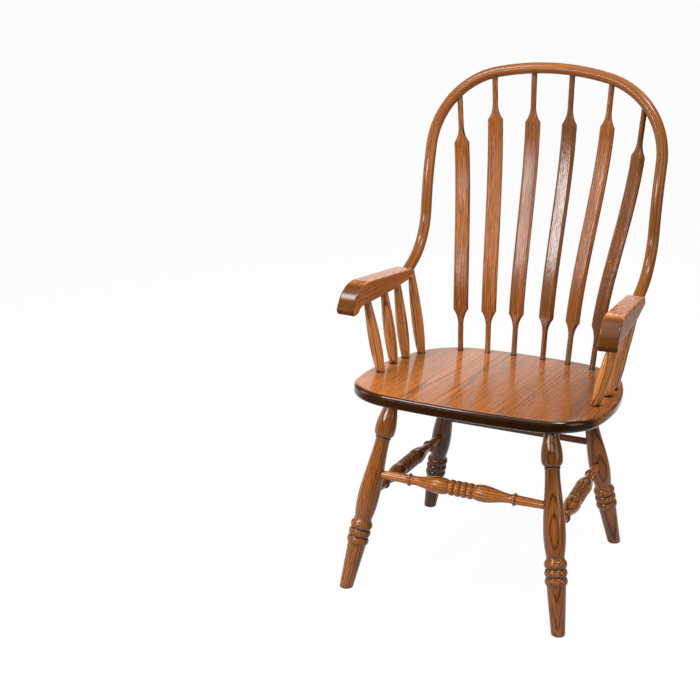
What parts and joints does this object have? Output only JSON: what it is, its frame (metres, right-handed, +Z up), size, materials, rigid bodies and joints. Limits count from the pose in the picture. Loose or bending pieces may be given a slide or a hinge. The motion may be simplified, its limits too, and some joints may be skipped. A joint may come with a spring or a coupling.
{
  "type": "paddle back armchair",
  "caption": "Stained oak dining armchair with a bent bow back, flat paddle spindles, shaped arms, a plank seat and turned, splayed legs joined by stretchers.",
  "frame": {"origin": "middle of the chair's footprint box, on the floor", "axes": "+Z up, the chair faces -Y, +X is to the right seen from in front"},
  "size_m": [0.6144, 0.6039, 1.0919],
  "materials": {
    "seat": "stained oak, clear semi-gloss lacquer",
    "leg": "stained oak, clear semi-gloss lacquer",
    "stretcher": "stained oak, clear semi-gloss lacquer",
    "bow": "stained oak, clear semi-gloss lacquer",
    "paddle": "stained oak, clear semi-gloss lacquer",
    "arm": "stained oak, clear semi-gloss lacquer",
    "arm_spindle": "stained oak, clear semi-gloss lacquer",
    "arm_dowel": "bare wood, glued in its holes"
  },
  "bodies": {
    "root": {"arm_dowel_left": "arm_dowel", "arm_dowel_right": "arm_dowel", "arm_left": "arm", "arm_right": "arm", "arm_spindle_left_1": "arm_spindle", "arm_spindle_left_2": "arm_spindle", "arm_spindle_left_3": "arm_spindle", "arm_spindle_left_4": "arm_spindle", "arm_spindle_right_1": "arm_spindle", "arm_spindle_right_2": "arm_spindle", "arm_spindle_right_3": "arm_spindle", "arm_spindle_right_4": "arm_spindle", "bow": "bow", "leg_front_left": "leg", "leg_front_right": "leg", "leg_rear_left": "leg", "leg_rear_right": "leg", "paddle_1": "paddle", "paddle_2": "paddle", "paddle_3": "paddle", "paddle_4": "paddle", "paddle_5": "paddle", "paddle_6": "paddle", "seat_board_centre": "seat", "seat_board_left_inner": "seat", "seat_board_left_outer": "seat", "seat_board_right_inner": "seat", "seat_board_right_outer": "seat", "stretcher_back": "stretcher", "stretcher_front": "stretcher", "stretcher_left": "stretcher", "stretcher_right": "stretcher"}
  },
  "joints": []
}
